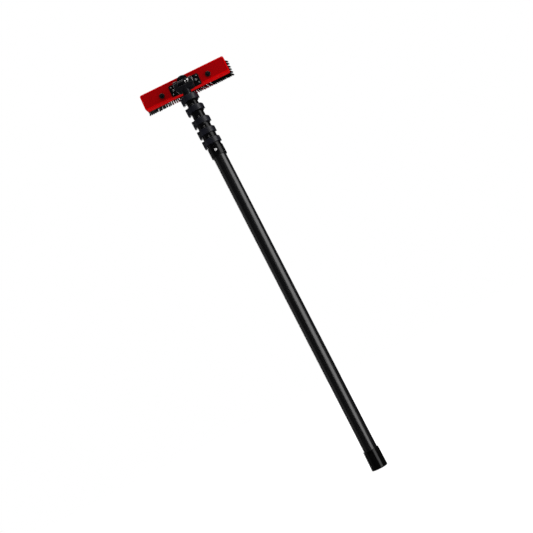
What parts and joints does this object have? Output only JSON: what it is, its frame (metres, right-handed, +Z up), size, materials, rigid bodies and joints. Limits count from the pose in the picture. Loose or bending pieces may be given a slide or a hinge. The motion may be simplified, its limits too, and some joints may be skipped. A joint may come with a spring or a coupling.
{
  "type": "window cleaning pole system",
  "caption": "Telescopic water-fed style window cleaning pole with lever clamps on nested tubes and a wash brush on a tilting hinge.",
  "frame": {"origin": "centre of the end cap's flat underside, on the pole's axis", "axes": "+Z up along the pole's axis towards the brush; the brush is long in X and its bristles point to +Y; -Y is the side that carries the clamp levers and the hinge"},
  "size_m": [0.3159, 0.142, 1.397],
  "materials": {
    "pole_tube": "satin clear-coated fibre composite",
    "cap_plastic": "glossy",
    "bung_plastic": "natural machined",
    "clamp_plastic": "fine moulded grain",
    "lever_plastic": "satin moulded",
    "steel": "bright plated",
    "hinge_plastic": "satin moulded",
    "brush_red": "glossy moulded",
    "jet_plastic": "glossy moulded",
    "seal_rubber": "matt",
    "bristle_black": "crimped filament",
    "bristle_red": "crimped filament"
  },
  "bodies": {
    "section_1": {"end_cap": "cap_plastic", "tube_1": "pole_tube", "clamp_body_1": "clamp_plastic", "lever_pin_1": "steel", "tension_screw_1": "steel", "sleeve_screws_1": "steel"},
    "section_2": {"tube_2": "pole_tube", "bung_2": "bung_plastic", "clamp_body_2": "clamp_plastic", "lever_pin_2": "steel", "tension_screw_2": "steel", "sleeve_screws_2": "steel"},
    "section_3": {"tube_3": "pole_tube", "bung_3": "bung_plastic", "clamp_body_3": "clamp_plastic", "lever_pin_3": "steel", "tension_screw_3": "steel", "sleeve_screws_3": "steel"},
    "section_4": {"tube_4": "pole_tube", "bung_4": "bung_plastic", "clamp_body_4": "clamp_plastic", "lever_pin_4": "steel", "tension_screw_4": "steel", "sleeve_screws_4": "steel"},
    "section_5": {"tube_5": "pole_tube", "bung_5": "bung_plastic", "clamp_body_5": "clamp_plastic", "lever_pin_5": "steel", "tension_screw_5": "steel", "sleeve_screws_5": "steel"},
    "section_6": {"tube_6": "pole_tube", "bung_6": "bung_plastic", "hinge_fork": "hinge_plastic", "hinge_bolt": "steel", "hinge_nut": "steel", "thrust_spacer": "steel"},
    "lever_1": {"clamp_lever_1": "lever_plastic"},
    "lever_2": {"clamp_lever_2": "lever_plastic"},
    "lever_3": {"clamp_lever_3": "lever_plastic"},
    "lever_4": {"clamp_lever_4": "lever_plastic"},
    "lever_5": {"clamp_lever_5": "lever_plastic"},
    "brush": {"hinge_plate": "hinge_plastic", "plate_screws": "steel", "brush_block": "brush_red", "jet_left": "jet_plastic", "jet_right": "jet_plastic", "jet_nuts": "jet_plastic", "jet_seals": "seal_rubber", "bristles_left": "bristle_black", "bristles_centre": "bristle_red", "bristles_right": "bristle_black"}
  },
  "joints": [
    {"name": "slide_2", "type": "slide", "parent": "section_1", "child": "section_2", "axis": [0, 0, 1], "range_m": [0, 1]},
    {"name": "slide_3", "type": "slide", "parent": "section_2", "child": "section_3", "axis": [0, 0, 1], "range_m": [0, 1]},
    {"name": "slide_4", "type": "slide", "parent": "section_3", "child": "section_4", "axis": [0, 0, 1], "range_m": [0, 1]},
    {"name": "slide_5", "type": "slide", "parent": "section_4", "child": "section_5", "axis": [0, 0, 1], "range_m": [0, 1]},
    {"name": "slide_6", "type": "slide", "parent": "section_5", "child": "section_6", "axis": [0, 0, 1], "range_m": [0, 1]},
    {"name": "lever_1_open", "type": "hinge", "parent": "section_1", "child": "lever_1", "pos_m": [-0.0264, -0.011, 1.136], "axis": [0, 0, -1], "range_deg": [0, 120]},
    {"name": "lever_2_open", "type": "hinge", "parent": "section_2", "child": "lever_2", "pos_m": [-0.0264, -0.011, 1.1715], "axis": [0, 0, -1], "range_deg": [0, 120]},
    {"name": "lever_3_open", "type": "hinge", "parent": "section_3", "child": "lever_3", "pos_m": [-0.0264, -0.011, 1.209], "axis": [0, 0, -1], "range_deg": [0, 120]},
    {"name": "lever_4_open", "type": "hinge", "parent": "section_4", "child": "lever_4", "pos_m": [-0.0264, -0.011, 1.254], "axis": [0, 0, -1], "range_deg": [0, 120]},
    {"name": "lever_5_open", "type": "hinge", "parent": "section_5", "child": "lever_5", "pos_m": [-0.0264, -0.011, 1.293], "axis": [0, 0, -1], "range_deg": [0, 120]},
    {"name": "brush_tilt", "type": "hinge", "parent": "section_6", "child": "brush", "pos_m": [0.0018, 0, 1.35196], "axis": [0.9991, 0, -0.0419], "range_deg": [-30, 90]}
  ]
}
